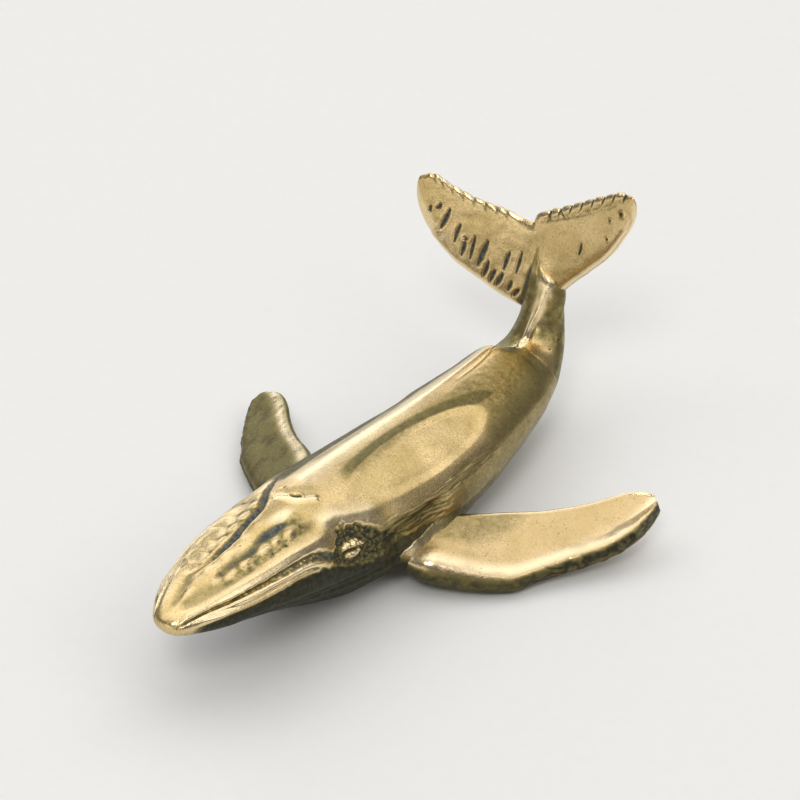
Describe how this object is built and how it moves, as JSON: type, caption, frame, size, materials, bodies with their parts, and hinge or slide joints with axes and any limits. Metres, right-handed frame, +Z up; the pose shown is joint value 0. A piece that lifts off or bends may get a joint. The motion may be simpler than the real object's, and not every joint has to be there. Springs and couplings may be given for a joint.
{
  "type": "whale figurine",
  "caption": "Solid brass humpback whale desk figurine resting on its chest, pectoral fins spread and tail fluke raised behind.",
  "frame": {"origin": "centre of the whole figurine's box in plan, at the height of the flat it rests on", "axes": "+Z up; the head points along -Y and the tail along +Y; +X is the animal's left side"},
  "size_m": [0.0378, 0.0532, 0.0235],
  "materials": {
    "polished_brass": "hand-polished antique brass, dark patina in the recesses",
    "braze_metal": "satin braze fillet, dulled"
  },
  "bodies": {
    "root": {"body_casting": "polished_brass", "left_pectoral_fin": "polished_brass", "right_pectoral_fin": "polished_brass", "tail_stock": "polished_brass", "tail_fluke": "polished_brass", "left_fin_braze": "braze_metal", "right_fin_braze": "braze_metal", "tail_stock_braze": "braze_metal"}
  },
  "joints": []
}
